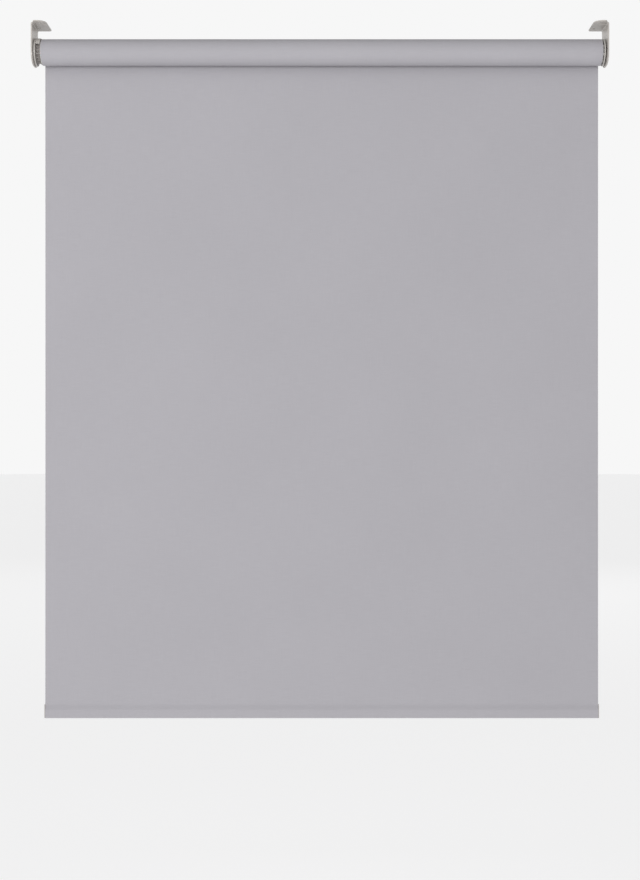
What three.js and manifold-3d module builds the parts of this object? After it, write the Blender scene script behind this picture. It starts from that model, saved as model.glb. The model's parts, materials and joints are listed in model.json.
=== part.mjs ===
// A roller blind, fully lowered, in millimetres. +X runs along the roll to the idle end, +Y goes from
// the room towards the window and +Z is up. The origin is on the head line: the plane of the brackets'
// top faces, midway between the two brackets and straight above the roll's axis.
import * as THREE from "three";
import { mergeVertices } from "three/addons/utils/BufferGeometryUtils.js";
import Module from "manifold-3d";

const wasm = await Module();
wasm.setup();

// Overall sizes
const blindWidth = 900; // over the outer faces of the two brackets
const hemDrop = 1093; // head line to the lowest point of the hem
const axisDrop = 41; // head line to the roll's axis

// Clearances
const gap = 0.3; // between pieces that touch or nearly touch
const turningGap = 0.6; // between the turning idle plug and the fixed socket

// Brackets
const plateThickness = 2;
const plateFront = 27; // in front of the axis
const plateBack = 20; // behind the axis
const plateBelowAxis = 23;
const plateCornerRadius = 18;
const bendRadius = 3.5; // outside of the bend
const flangeWidth = 24;
const flangeFront = 35;
const flangeNoseRadius = 14;
const flangeHeelRadius = 4;
const flareLength = 9; // of the flange's curved step out from the plate's front edge
const screwHoleRadius = 2.3;
const slotLength = 9.5;
const frontHoleDepth = -19.6; // of the slot's centre, in front of the axis
const rearHoleDepth = 4.4;
const holeRim = 4.1; // metal between a hole and the flange's free edge

// Control end
const housingThickness = 3;
const housingRim = 0.1; // past the chain guard
const rimWidth = 1.3;
const rimDepth = 0.8;
const raceWidth = 6.5;
const beadPitch = 6;
const beadCount = 18;
const beadRadius = 2.25;
const sprocketLip = 0.8; // thickness of each side wall of the race
const sprocketLipHeight = 1.7;
const guardThickness = 1.5;
const guardEndAngle = 27; // degrees above the axis, at the front and at the back
const guardTabAngle = 30; // degrees to each side of straight up
const guardTabHalfAngle = 6;
const guardTabDepth = 1.8;
const coreRadius = 6.5;
const coreHeadSize = 2 * coreRadius + 2; // square head, keyed into the housing
const coreLipSize = coreHeadSize + 3;
const coreLipThickness = 1;
const lugInnerRadius = coreLipSize / 2 + 1;
const lugHeight = 3;
const lugHalfAngle = 8;
const plugHoleRadius = 5.3; // centre hole of each bracket plate

// Clutch
const springWire = 1;
const springTurns = 3 + 1 / 3;
const springPitch = 1.4;
const springCount = 3;
const springTang = 1.9; // how far the bent ends stand out of the coil
const driverClearance = 0.6; // from the coils to the driver's finger and the crown's rib
const driverThickness = 2.1;
const fingerHalfAngle = 55;
const ribHalfAngle = 25;
const crownFlange = 0.8;
const crownEndWall = 3;
const crownLength = 36;
const washerThickness = 1;
const washerRadius = coreRadius + 3;
const screwRadius = 1.5;
const screwHeadRadius = 4;
const screwHeadHeight = 2.4;
const screwLength = 13;

// Tube and cloth
const tubeRadius = 19;
const tubeWall = 1.2;
const grooveNeckHalf = 1.2;
const grooveHalf = 2.2;
const grooveNeckDepth = 1;
const grooveDepth = 2.4;
const finHalfWidth = 1.6;
const finCount = 8;
const clothThickness = 0.4;
const woundThickness = 1.35; // all the turns of cloth left on the tube
const clothSetback = 2; // from the tube's idle end to the cloth's edge

// Idle end
const plugFlange = 1.7;
const sleeveWall = 3.1;
const sleeveLength = 22;
const pinRadius = 3;
const pinStandout = 3.6; // past the plug's flange
const pinTravel = 8;
const collarThickness = 1.6;
const collarHeight = 2.3;
const idleCapFlange = 2;
const idleCapBoss = 2.2;
const idleCapStep = 2.4; // from the plug's body in to the cap's edge
const idleSpringWire = 0.8;
const idleSpringTurns = 6;
const idleSpringSpare = 2; // left between the turns when the pin is pressed right in
const socketFlange = 1.1;
const socketFlangeRadius = plugHoleRadius + 1.9;

// Hem
const hemHeight = 22.7;
const hemThickness = 5.2;
const hemTopThickness = 1;
const hemShoulder = 5; // height over which the pocket widens
const hemWall = 0.5;
const hemBarThickness = 3;
const hemBarHeight = hemHeight - hemShoulder - 2.7;
const hemCapThickness = 0.9;
const hemTongueLength = 12;

// Facets. A drawn arc gets two straight sides for each of its steps.
const roundSegments = 48;
const smallSegments = 24;
const roundSteps = 24;
const smallSteps = 3;

// Places worked out along X, from the control end
const degrees = Math.PI / 180;
const controlFace = -blindWidth / 2;
const housingStart = controlFace + plateThickness + gap;
const housingEnd = housingStart + housingThickness;
const raceStart = housingEnd + gap;
const raceEnd = raceStart + raceWidth;
const crownStart = raceEnd + gap;
const tubeStart = crownStart + crownFlange + gap;
const crownEnd = tubeStart + crownLength;
const coreEnd = crownEnd + gap;
const washerStart = coreEnd + gap;
const screwHeadStart = washerStart + washerThickness + gap;

// and from the idle end
const idleFace = blindWidth / 2;
const socketInner = idleFace - plateThickness - gap - socketFlange;
const plugFace = socketInner - turningGap;
const tubeEnd = plugFace - plugFlange - gap;
const clothEnd = tubeEnd - clothSetback;
const sleeveInner = plugFace - sleeveLength;
const collarStart = sleeveInner - gap - collarThickness;
const springRoom = pinTravel + (idleSpringTurns + 1) * idleSpringWire + idleSpringSpare;
const idleCapEnd = collarStart - springRoom;
const plugInner = idleCapEnd - idleCapBoss;
const idleCapStart = plugInner - gap - idleCapFlange;
const pinInner = idleCapStart - gap;
const pinEnd = plugFace + pinStandout;

// Radii
const tubeBore = tubeRadius - tubeWall;
const rollInner = tubeRadius + gap;
const rollRadius = rollInner + woundThickness;
const beadCircle = (beadPitch * beadCount) / (2 * Math.PI);
const coilRadius = coreRadius + gap + springWire / 2;
const driverInner = coilRadius + springWire / 2 + driverClearance;
const driverOuter = driverInner + driverThickness;
const crownBore = driverOuter + gap;
const coreBore = coreRadius + gap;
const guardInner = beadCircle + beadRadius + 1.5 * gap;
const guardOuter = guardInner + guardThickness;
const housingRadius = guardOuter + housingRim;
const plugFlangeRadius = rollRadius + gap;
const sleeveRadius = pinRadius + gap + sleeveWall;
const plugBore = sleeveRadius + gap;
const keyHalf = grooveHalf + tubeWall + gap;
const grooveFloor = tubeRadius - grooveNeckDepth - grooveDepth;
const channelFloor = grooveFloor - tubeWall;
const keyDepth = channelFloor - gap;

function finish(color, roughness, metalness) {
  return new THREE.MeshStandardMaterial({ color, roughness, metalness });
}

const finishes = {
  bracket: () => finish(0x9a9590, 0.42, 0.55),
  housing: () => finish(0xa39e99, 0.5, 0),
  sprocket: () => finish(0x7c7874, 0.55, 0),
  steel: () => finish(0xb4b4b2, 0.3, 1),
  aluminium: () => finish(0xb9babc, 0.4, 1),
  nylon: () => finish(0xd8d7d2, 0.55, 0),
  cloth: () => finish(0xb0aeb3, 0.9, 0),
};

function named(name, geometry, material) {
  const mesh = new THREE.Mesh(geometry, material());
  mesh.name = name;
  return mesh;
}

function toSolid(geometry) {
  const bare = geometry.index ? geometry.toNonIndexed() : geometry.clone();
  bare.deleteAttribute("normal");
  bare.deleteAttribute("uv");
  const merged = mergeVertices(bare, 1e-4);
  return new wasm.Manifold(
    new wasm.Mesh({
      numProp: 3,
      vertProperties: new Float32Array(merged.attributes.position.array),
      triVerts: new Uint32Array(merged.index.array),
    }),
  );
}

function toGeometry(solid) {
  const mesh = solid.getMesh();
  const geometry = new THREE.BufferGeometry();
  geometry.setAttribute("position", new THREE.BufferAttribute(mesh.vertProperties, 3));
  geometry.setIndex(new THREE.BufferAttribute(mesh.triVerts, 1));
  geometry.computeVertexNormals();
  return geometry;
}

// Joins the first geometry with those in `added` and cuts those in `removed` out of it.
function combine(base, added, removed = []) {
  let solid = toSolid(base);
  for (const piece of added) {
    solid = solid.add(toSolid(piece));
  }
  for (const piece of removed) {
    solid = solid.subtract(toSolid(piece));
  }
  return toGeometry(solid);
}

// A flat outline drawn in Y and Z, extruded from one place on X to another.
function alongX(outline, start, end, curveSegments = roundSteps) {
  const geometry = new THREE.ExtrudeGeometry(outline, {
    depth: end - start,
    bevelEnabled: false,
    curveSegments,
  });
  const turn = new THREE.Matrix4().makeBasis(
    new THREE.Vector3(0, 1, 0),
    new THREE.Vector3(0, 0, 1),
    new THREE.Vector3(1, 0, 0),
  );
  return geometry.applyMatrix4(turn).translate(start, 0, 0);
}

// A flat outline drawn in X and Y, extruded from one height to another.
function alongZ(outline, start, end, curveSegments = smallSteps) {
  const geometry = new THREE.ExtrudeGeometry(outline, {
    depth: end - start,
    bevelEnabled: false,
    curveSegments,
  });
  return geometry.translate(0, 0, start);
}

// A body of revolution about the X axis. Each point is [place on X, radius], and the profile closes.
function turned(points, segments = roundSegments) {
  const profile = points.map(([x, radius]) => new THREE.Vector2(radius, x));
  profile.push(profile[0].clone());
  return new THREE.LatheGeometry(profile, segments).rotateZ(-Math.PI / 2);
}

function turnedRing(start, end, inner, outer, segments = roundSegments) {
  return turned([[start, inner], [start, outer], [end, outer], [end, inner]], segments);
}

// A solid round bar on the X axis. Its profile starts and ends on the axis.
function turnedBar(start, end, radius, segments = smallSegments) {
  const profile = [[start, 0], [start, radius], [end, radius], [end, 0]];
  const points = profile.map(([x, r]) => new THREE.Vector2(r, x));
  return new THREE.LatheGeometry(points, segments).rotateZ(-Math.PI / 2);
}

// Part of a ring about the X axis, between two angles in degrees. 0 points to +Y and 90 points up.
function sector(start, end, inner, outer, from, to) {
  const outline = new THREE.Shape();
  outline.absarc(0, 0, outer, from * degrees, to * degrees, false);
  outline.absarc(0, 0, inner, to * degrees, from * degrees, true);
  outline.closePath();
  return alongX(outline, start, end, Math.ceil((to - from) / 15));
}

function squareOutline(size) {
  const half = size / 2;
  const outline = new THREE.Shape();
  outline.moveTo(-half, -half);
  outline.lineTo(half, -half);
  outline.lineTo(half, half);
  outline.lineTo(-half, half);
  outline.closePath();
  return outline;
}

class Helix extends THREE.Curve {
  constructor(start, end, radius, turns, firstAngle) {
    super();
    Object.assign(this, { start, end, radius, turns, firstAngle });
  }

  getPoint(t, target = new THREE.Vector3()) {
    const angle = this.firstAngle + t * this.turns * 2 * Math.PI;
    return target.set(
      this.start + (this.end - this.start) * t,
      this.radius * Math.cos(angle),
      this.radius * Math.sin(angle),
    );
  }
}

function coil(start, end, radius, wire, turns, firstAngle) {
  const section = new THREE.Shape().absarc(0, 0, wire / 2, 0, 2 * Math.PI, false);
  return new THREE.ExtrudeGeometry(section, {
    steps: Math.round(turns * 16),
    curveSegments: smallSteps,
    extrudePath: new Helix(start, end, radius, turns, firstAngle),
  });
}

// Brackets. Built with the plate's outer face on X = 0 and the flange towards +X.
function bracketGeometry(holes) {
  const far = 2 * flangeWidth;
  const bottom = -axisDrop - plateBelowAxis;
  const bendInside = bendRadius - plateThickness;

  const section = new THREE.Shape();
  section.moveTo(0, bottom);
  section.lineTo(plateThickness, bottom);
  section.lineTo(plateThickness, -bendRadius);
  section.absarc(bendRadius, -bendRadius, bendInside, Math.PI, Math.PI / 2, true);
  section.lineTo(flangeWidth, -plateThickness);
  section.lineTo(flangeWidth, 0);
  section.lineTo(bendRadius, 0);
  section.absarc(bendRadius, -bendRadius, bendRadius, Math.PI / 2, Math.PI, false);
  section.closePath();
  const angle = new THREE.ExtrudeGeometry(section, {
    depth: flangeFront + plateBack,
    bevelEnabled: false,
    curveSegments: smallSteps,
  });
  angle.rotateX(Math.PI / 2).translate(0, plateBack, 0);

  const side = new THREE.Shape();
  side.moveTo(-flangeFront, far);
  side.lineTo(-flangeFront, -bendRadius);
  side.lineTo(-plateFront, -bendRadius);
  side.absarc(
    -plateFront + plateCornerRadius, bottom + plateCornerRadius, plateCornerRadius,
    Math.PI, 1.5 * Math.PI, false,
  );
  side.absarc(
    plateBack - plateCornerRadius, bottom + plateCornerRadius, plateCornerRadius,
    1.5 * Math.PI, 2 * Math.PI, false,
  );
  side.lineTo(plateBack, far);
  side.closePath();

  const top = new THREE.Shape();
  top.moveTo(-far, plateBack);
  top.lineTo(-far, -plateFront);
  top.lineTo(bendRadius, -plateFront);
  top.quadraticCurveTo(bendRadius, -flangeFront, bendRadius + flareLength / 2, -flangeFront);
  top.absarc(
    flangeWidth - flangeNoseRadius, -flangeFront + flangeNoseRadius, flangeNoseRadius,
    -Math.PI / 2, 0, false,
  );
  top.absarc(
    flangeWidth - flangeHeelRadius, plateBack - flangeHeelRadius, flangeHeelRadius,
    0, Math.PI / 2, false,
  );
  top.closePath();

  let solid = toSolid(angle)
    .intersect(toSolid(alongX(side, -far, far, 2 * smallSteps)))
    .intersect(toSolid(alongZ(top, 2 * bottom, far, 4)));

  const centreHole = turnedBar(-far, far, plugHoleRadius);
  const slots = [90, 210, 330].map((at) =>
    sector(
      -far, far, lugInnerRadius - gap, lugInnerRadius + lugHeight + gap,
      at - lugHalfAngle - 2, at + lugHalfAngle + 2,
    ),
  );
  for (const cut of [centreHole, ...slots]) {
    // only the plate is cut, not the bent edge above it
    solid = solid.subtract(toSolid(cut.translate(0, 0, -axisDrop)));
  }
  for (const { inward, depth, length } of holes) {
    solid = solid.subtract(toSolid(screwHole(inward, depth, length)));
  }
  return toGeometry(solid);
}

// A round hole, or a slot that runs across the flange, through the flange alone.
function screwHole(inward, depth, length) {
  const half = Math.max(0, length / 2 - screwHoleRadius);
  const outline = new THREE.Shape();
  outline.absarc(inward + half, depth, screwHoleRadius, -Math.PI / 2, Math.PI / 2, false);
  outline.absarc(inward - half, depth, screwHoleRadius, Math.PI / 2, 1.5 * Math.PI, false);
  outline.closePath();
  return alongZ(outline, -2 * plateThickness, plateThickness);
}

function brackets() {
  const inwardNear = bendRadius + 2 * screwHoleRadius;
  const inwardFar = flangeWidth - screwHoleRadius - holeRim;
  const left = named(
    "bracket_left",
    bracketGeometry([
      { inward: inwardFar, depth: frontHoleDepth, length: slotLength },
      { inward: inwardNear, depth: rearHoleDepth, length: 0 },
    ]),
    finishes.bracket,
  );
  left.position.x = controlFace;
  const right = named(
    "bracket_right",
    bracketGeometry([
      { inward: inwardNear + 1, depth: frontHoleDepth, length: slotLength },
      { inward: inwardFar, depth: rearHoleDepth, length: 0 },
    ]),
    finishes.bracket,
  );
  right.position.x = idleFace;
  right.scale.x = -1;
  return [left, right];
}

// Control end, about the roll's axis
function controlHousing() {
  const disc = turned([
    [housingStart, 0.5 * coreRadius],
    [housingStart, housingRadius - rimDepth],
    [housingStart + rimDepth, housingRadius],
    [housingEnd - rimDepth / 2, housingRadius],
    [housingEnd, housingRadius - rimDepth / 2],
    [housingEnd, housingRadius - rimWidth],
    [housingEnd - rimDepth, housingRadius - rimWidth - rimDepth],
    [housingEnd - rimDepth, 0.5 * coreRadius],
  ]);
  const lugs = [90, 210, 330].map((at) =>
    sector(
      controlFace + gap / 2, housingStart + gap, lugInnerRadius, lugInnerRadius + lugHeight,
      at - lugHalfAngle, at + lugHalfAngle,
    ),
  );
  const headHole = alongX(squareOutline(coreHeadSize + 2 * gap), housingStart - 1, housingEnd + 1);
  const lipEnd = housingStart + coreLipThickness + 2 * gap;
  const lipHole = alongX(squareOutline(coreLipSize + 2 * gap), controlFace - 1, lipEnd);
  const notches = [90 - guardTabAngle, 90 + guardTabAngle].map((at) =>
    sector(
      housingEnd - guardTabDepth - gap, housingEnd + 1, guardInner - gap, housingRadius + 1,
      at - guardTabHalfAngle - 1, at + guardTabHalfAngle + 1,
    ),
  );
  return combine(disc, lugs, [headHole, lipHole, ...notches]);
}

function chainGuard() {
  const shell = sector(raceStart, raceEnd, guardInner, guardOuter, guardEndAngle, 180 - guardEndAngle);
  const tabs = [90 - guardTabAngle, 90 + guardTabAngle].map((at) =>
    sector(
      housingEnd - guardTabDepth, raceStart + gap, guardInner, guardOuter,
      at - guardTabHalfAngle, at + guardTabHalfAngle,
    ),
  );
  return combine(shell, tabs);
}

function controlCore() {
  const lipEnd = housingStart + coreLipThickness;
  const lip = alongX(squareOutline(coreLipSize), housingStart, lipEnd);
  const head = alongX(squareOutline(coreHeadSize), housingStart, housingEnd - rimDepth);
  const shaft = turnedBar(housingStart + gap, coreEnd, coreRadius);
  const screwBore = turnedBar(coreEnd - screwLength - gap, coreEnd + 1, screwRadius + gap, 12);
  return combine(lip, [head, shaft], [screwBore]);
}

function sprocketGeometry() {
  const lipRadius = beadCircle + sprocketLipHeight;
  const floorStart = raceStart + sprocketLip;
  const floorEnd = raceEnd - sprocketLip;
  const wheel = turned([
    [raceStart, coreBore],
    [raceStart, lipRadius],
    [floorStart - gap, lipRadius],
    [floorStart + gap, beadCircle],
    [floorEnd - gap, beadCircle],
    [floorEnd + gap, lipRadius],
    [raceEnd, lipRadius],
    [raceEnd, coreBore],
  ], 2 * beadCount);
  const fingerEnd = crownEnd - crownEndWall - gap;
  const finger = sector(
    raceEnd - gap, fingerEnd, driverInner, driverOuter,
    270 - fingerHalfAngle, 270 + fingerHalfAngle,
  );
  const pockets = [];
  for (let bead = 0; bead < beadCount; bead++) {
    const angle = (2 * Math.PI * (bead + 0.5)) / beadCount;
    const pocket = new THREE.SphereGeometry(beadRadius + gap / 2, 8, 6);
    const across = (raceStart + raceEnd) / 2;
    pockets.push(pocket.translate(across, beadCircle * Math.cos(angle), beadCircle * Math.sin(angle)));
  }
  return combine(wheel, [finger], pockets);
}

function wrapSpring(place) {
  const length = springPitch * springTurns;
  const room = crownEnd - crownEndWall - tubeStart;
  const start = tubeStart + (room / springCount) * (place + 0.5) - length / 2;
  const firstAngle = 30 * degrees;
  const body = coil(start, start + length, coilRadius, springWire, springTurns, firstAngle);
  const tangs = [[start, 30], [start + length, 150]].map(([x, at]) => {
    const tang = new THREE.BoxGeometry(springWire, springTang + springWire / 2, springWire);
    tang.translate(0, coilRadius + (springTang + springWire / 2) / 2, 0);
    return tang.rotateX(at * degrees).translate(x, 0, 0);
  });
  return combine(body, tangs);
}

// The body shared by the two pieces that fill the tube's ends: fins reach the tube's wall, and the
// channel of the tube's groove passes between two of them.
function finnedBody(start, end) {
  const outline = new THREE.Shape();
  const tip = tubeBore - gap;
  const foot = Math.asin(finHalfWidth / keyDepth);
  const edge = Math.asin(finHalfWidth / tip);
  for (let fin = 0; fin < finCount; fin++) {
    const middle = ((fin + 0.5) * 2 * Math.PI) / finCount;
    const next = middle + (2 * Math.PI) / finCount;
    outline.absarc(0, 0, tip, middle - edge, middle + edge, false);
    outline.absarc(0, 0, keyDepth, middle + foot, next - foot, false);
  }
  outline.closePath();
  const keyway = new THREE.BoxGeometry(end - start + 2, 2 * keyHalf, tubeRadius);
  keyway.translate((start + end) / 2, 0, keyDepth + tubeRadius / 2);
  return combine(alongX(outline, start, end, 1), [], [keyway]);
}

function driveCrown() {
  const endWall = crownEnd - crownEndWall;
  const body = finnedBody(tubeStart - gap, crownEnd);
  const flange = turnedBar(crownStart, crownStart + crownFlange, tubeRadius, roundSegments);
  const bore = turnedBar(crownStart - 1, endWall, crownBore);
  const coreHole = turnedBar(endWall - 1, crownEnd + 1, coreBore);
  const rib = sector(
    tubeStart, endWall + gap, driverInner, crownBore + gap, 90 - ribHalfAngle, 90 + ribHalfAngle,
  );
  const shell = combine(body, [flange], [bore, coreHole]);
  return combine(shell, [rib]);
}

function coreScrew() {
  const headEnd = screwHeadStart + screwHeadHeight;
  const profile = [
    [coreEnd - screwLength, 0],
    [coreEnd - screwLength + screwRadius, screwRadius],
    [screwHeadStart, screwRadius],
    [screwHeadStart, screwHeadRadius],
    [headEnd - screwHeadHeight / 2, screwHeadRadius],
    [headEnd, screwHeadRadius * 0.6],
    [headEnd, 0],
  ];
  const points = profile.map(([x, radius]) => new THREE.Vector2(radius, x));
  const screw = new THREE.LatheGeometry(points, smallSegments).rotateZ(-Math.PI / 2);
  const recessDepth = screwHeadHeight / 2;
  const recess = [0, 90].map((at) =>
    new THREE.BoxGeometry(2 * recessDepth, screwRadius * 0.6, screwRadius * 2)
      .rotateX(at * degrees)
      .translate(headEnd, 0, 0),
  );
  return combine(screw, [], recess);
}

function controlEnd() {
  const group = new THREE.Group();
  group.add(
    named("control_housing", controlHousing(), finishes.housing),
    named("chain_guard", chainGuard(), finishes.housing),
    named("control_core", controlCore(), finishes.nylon),
    named("sprocket", sprocketGeometry(), finishes.sprocket),
    named("drive_crown", driveCrown(), finishes.nylon),
    named(
      "core_washer",
      turnedRing(
        washerStart, washerStart + washerThickness, screwRadius + gap, washerRadius, smallSegments,
      ),
      finishes.steel,
    ),
    named("core_screw", coreScrew(), finishes.steel),
  );
  for (let place = 0; place < springCount; place++) {
    group.add(named(`wrap_spring_${place + 1}`, wrapSpring(place), finishes.steel));
  }
  return group;
}

// Tube and wound cloth
function tubeOutline() {
  const neckEdge = Math.acos(grooveNeckHalf / tubeRadius);
  const neckFloor = tubeRadius - grooveNeckDepth;
  const outline = new THREE.Shape();
  outline.absarc(0, 0, tubeRadius, Math.PI - neckEdge, 2 * Math.PI + neckEdge, false);
  outline.lineTo(grooveNeckHalf, neckFloor);
  outline.lineTo(grooveHalf, neckFloor);
  outline.lineTo(grooveHalf, grooveFloor);
  outline.lineTo(-grooveHalf, grooveFloor);
  outline.lineTo(-grooveHalf, neckFloor);
  outline.lineTo(-grooveNeckHalf, neckFloor);
  outline.closePath();

  const channelHalf = grooveHalf + tubeWall;
  const channelEdge = Math.acos(channelHalf / tubeBore);
  const bore = new THREE.Path();
  bore.absarc(0, 0, tubeBore, Math.PI - channelEdge, 2 * Math.PI + channelEdge, false);
  bore.lineTo(channelHalf, channelFloor);
  bore.lineTo(-channelHalf, channelFloor);
  bore.closePath();
  outline.holes.push(bore);
  return outline;
}

function splineOutline() {
  const half = grooveHalf - gap;
  const neckFloor = tubeRadius - grooveNeckDepth;
  const outline = new THREE.Shape();
  outline.moveTo(-half, grooveFloor + gap);
  outline.lineTo(half, grooveFloor + gap);
  outline.lineTo(half, neckFloor - gap);
  outline.lineTo(-half, neckFloor - gap);
  outline.closePath();
  return outline;
}

function tubeGroup() {
  const group = new THREE.Group();
  group.add(
    named("roller_tube", alongX(tubeOutline(), tubeStart, tubeEnd), finishes.aluminium),
    named("cloth_spline", alongX(splineOutline(), tubeStart, clothEnd), finishes.nylon),
    named("cloth_roll", turnedRing(tubeStart, clothEnd, rollInner, rollRadius), finishes.cloth),
  );
  return group;
}

// Idle end, about the roll's axis
function idlePlug() {
  const body = finnedBody(plugInner, tubeEnd + gap);
  const flange = turned([
    [tubeEnd + gap, pinRadius],
    [tubeEnd + gap, plugFlangeRadius],
    [plugFace - gap, plugFlangeRadius],
    [plugFace, plugFlangeRadius - gap],
    [plugFace, pinRadius],
  ]);
  const bore = turnedBar(plugInner - 1, plugFace + 1, plugBore);
  return combine(body, [flange], [bore]);
}

function idleCap() {
  const edge = keyDepth - idleCapStep;
  return turned([
    [idleCapStart, pinRadius + gap],
    [idleCapStart, edge],
    [idleCapStart + idleCapFlange, edge],
    [idleCapStart + idleCapFlange, sleeveRadius],
    [idleCapEnd, sleeveRadius],
    [idleCapEnd, pinRadius + gap],
  ], smallSegments);
}

function idlePin() {
  const nose = pinRadius / 2;
  const profile = [
    [pinInner, 0],
    [pinInner, pinRadius - gap],
    [pinInner + gap, pinRadius],
    [pinEnd - nose, pinRadius],
    [pinEnd, pinRadius - nose],
    [pinEnd, 0],
  ];
  const points = profile.map(([x, radius]) => new THREE.Vector2(radius, x));
  return new THREE.LatheGeometry(points, smallSegments).rotateZ(-Math.PI / 2);
}

function pinSocket() {
  const bore = pinRadius + gap;
  const barrel = plugHoleRadius - gap;
  const outside = idleFace - gap;
  return turned([
    [socketInner, bore],
    [socketInner, socketFlangeRadius - gap],
    [socketInner + gap, socketFlangeRadius],
    [socketInner + socketFlange, socketFlangeRadius],
    [socketInner + socketFlange, barrel],
    [outside, barrel],
    [outside, bore],
  ], smallSegments);
}

function idleSpring() {
  const room = collarStart - idleCapEnd;
  const start = idleCapEnd + gap + idleSpringWire / 2;
  const end = idleCapEnd + room - gap - idleSpringWire / 2;
  const radius = pinRadius + 2 * gap + idleSpringWire / 2;
  return coil(start, end, radius, idleSpringWire, idleSpringTurns, 0);
}

function idleEnd() {
  const group = new THREE.Group();
  const collarBore = pinRadius + gap / 3;
  const collarRadius = pinRadius + collarHeight;
  const collarEnd = collarStart + collarThickness;
  group.add(
    named("idle_plug", idlePlug(), finishes.housing),
    named(
      "idle_sleeve",
      turnedRing(sleeveInner, plugFace - gap, pinRadius + gap / 3, sleeveRadius, smallSegments),
      finishes.nylon,
    ),
    named("idle_cap", idleCap(), finishes.nylon),
    named("idle_pin", idlePin(), finishes.steel),
    named(
      "pin_collar",
      turnedRing(collarStart, collarEnd, collarBore, collarRadius, smallSegments),
      finishes.steel,
    ),
    named("idle_spring", idleSpring(), finishes.steel),
    named("pin_socket", pinSocket(), finishes.nylon),
  );
  return group;
}

// Hanging cloth and hem. The cloth leaves the back of the roll.
const clothMiddle = rollRadius - clothThickness / 2;
const hemTop = -hemDrop + hemHeight;

function clothSheet() {
  const front = rollRadius - clothThickness;
  const below = Math.sqrt(rollRadius ** 2 - (front - gap) ** 2) + gap;
  const top = -axisDrop - below;
  const bottom = hemTop + gap;
  const sheet = new THREE.BoxGeometry(clothEnd - tubeStart, clothThickness, top - bottom);
  return sheet.translate((tubeStart + clothEnd) / 2, clothMiddle, (top + bottom) / 2);
}

// The pocket's section, or a copy of it drawn smaller by `inset` on all sides.
function pocketSection(pathKind, inset, topHalf) {
  const half = hemThickness / 2 - inset;
  const rounding = -hemDrop + hemThickness / 2;
  const outline = new pathKind();
  outline.moveTo(-topHalf, hemTop - 4 * inset);
  outline.lineTo(-half, hemTop - hemShoulder - 2 * inset);
  outline.absarc(0, rounding, half, Math.PI, 2 * Math.PI, false);
  outline.lineTo(half, hemTop - hemShoulder - 2 * inset);
  outline.lineTo(topHalf, hemTop - 4 * inset);
  outline.closePath();
  return outline;
}

function hemPocket() {
  const outline = pocketSection(THREE.Shape, 0, hemTopThickness / 2);
  outline.holes.push(pocketSection(THREE.Path, hemWall, gap / 3));
  return alongX(outline, tubeStart, clothEnd, smallSteps).translate(0, clothMiddle, 0);
}

function barSection(halfThickness) {
  const rounding = -hemDrop + hemThickness / 2;
  const outline = new THREE.Shape();
  outline.absarc(0, rounding, halfThickness, Math.PI, 2 * Math.PI, false);
  outline.absarc(0, rounding + hemBarHeight - 2 * halfThickness, halfThickness, 0, Math.PI, false);
  outline.closePath();
  return outline;
}

function hemBar() {
  const inset = hemTongueLength + 2 * gap;
  const section = barSection(hemBarThickness / 2);
  return alongX(section, tubeStart + inset, clothEnd - inset, smallSteps).translate(0, clothMiddle, 0);
}

// A cap for one end of the hem: edge is the cloth's edge and outward is -1 or 1.
function hemCap(edge, outward) {
  const near = edge + outward * gap;
  const far = near + outward * hemCapThickness;
  const tip = edge - outward * hemTongueLength;
  const plate = alongX(
    pocketSection(THREE.Shape, 0, hemTopThickness / 2),
    Math.min(near, far), Math.max(near, far), smallSteps,
  );
  const tongue = alongX(
    barSection(hemThickness / 2 - hemWall - gap),
    Math.min(near, tip), Math.max(near, tip), smallSteps,
  );
  return combine(plate, [tongue]).translate(0, clothMiddle, 0);
}

function clothAndHem() {
  const group = new THREE.Group();
  group.add(
    named("cloth_sheet", clothSheet(), finishes.cloth),
    named("hem_pocket", hemPocket(), finishes.cloth),
    named("hem_bar", hemBar(), finishes.aluminium),
    named("hem_cap_left", hemCap(tubeStart, -1), finishes.housing),
    named("hem_cap_right", hemCap(clothEnd, 1), finishes.housing),
  );
  return group;
}

const blind = new THREE.Group();
const aboutAxis = new THREE.Group();
aboutAxis.position.z = -axisDrop;
aboutAxis.add(controlEnd(), tubeGroup(), idleEnd());
blind.add(...brackets(), aboutAxis, clothAndHem());

export default blind;
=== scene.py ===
"""A roller blind, fully lowered: its looks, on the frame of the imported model.

Everything is in metres. +X runs along the roll to the idle end, +Y goes from the room towards the
window and +Z is up."""

import json
import math

import bmesh
import bpy
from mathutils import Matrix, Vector
from mathutils.geometry import tessellate_polygon


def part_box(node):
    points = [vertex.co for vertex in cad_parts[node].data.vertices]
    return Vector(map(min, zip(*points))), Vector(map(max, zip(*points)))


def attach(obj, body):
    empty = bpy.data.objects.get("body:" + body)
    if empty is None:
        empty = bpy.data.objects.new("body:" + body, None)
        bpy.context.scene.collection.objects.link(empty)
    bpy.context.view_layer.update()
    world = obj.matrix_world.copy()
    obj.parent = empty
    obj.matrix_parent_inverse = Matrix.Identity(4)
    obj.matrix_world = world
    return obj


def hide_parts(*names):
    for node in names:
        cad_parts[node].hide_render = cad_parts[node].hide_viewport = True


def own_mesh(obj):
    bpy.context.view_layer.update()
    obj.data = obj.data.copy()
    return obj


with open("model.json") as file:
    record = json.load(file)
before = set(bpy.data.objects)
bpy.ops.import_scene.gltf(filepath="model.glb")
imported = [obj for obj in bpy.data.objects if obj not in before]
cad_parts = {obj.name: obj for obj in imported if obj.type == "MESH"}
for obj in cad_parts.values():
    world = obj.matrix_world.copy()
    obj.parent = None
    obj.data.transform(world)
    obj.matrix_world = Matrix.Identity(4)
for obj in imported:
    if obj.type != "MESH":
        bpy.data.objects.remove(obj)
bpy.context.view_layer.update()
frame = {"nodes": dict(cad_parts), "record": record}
scene = bpy.context.scene
MM = 0.001


# ---------------------------------------------------------------------------------------------
# Camera

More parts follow.
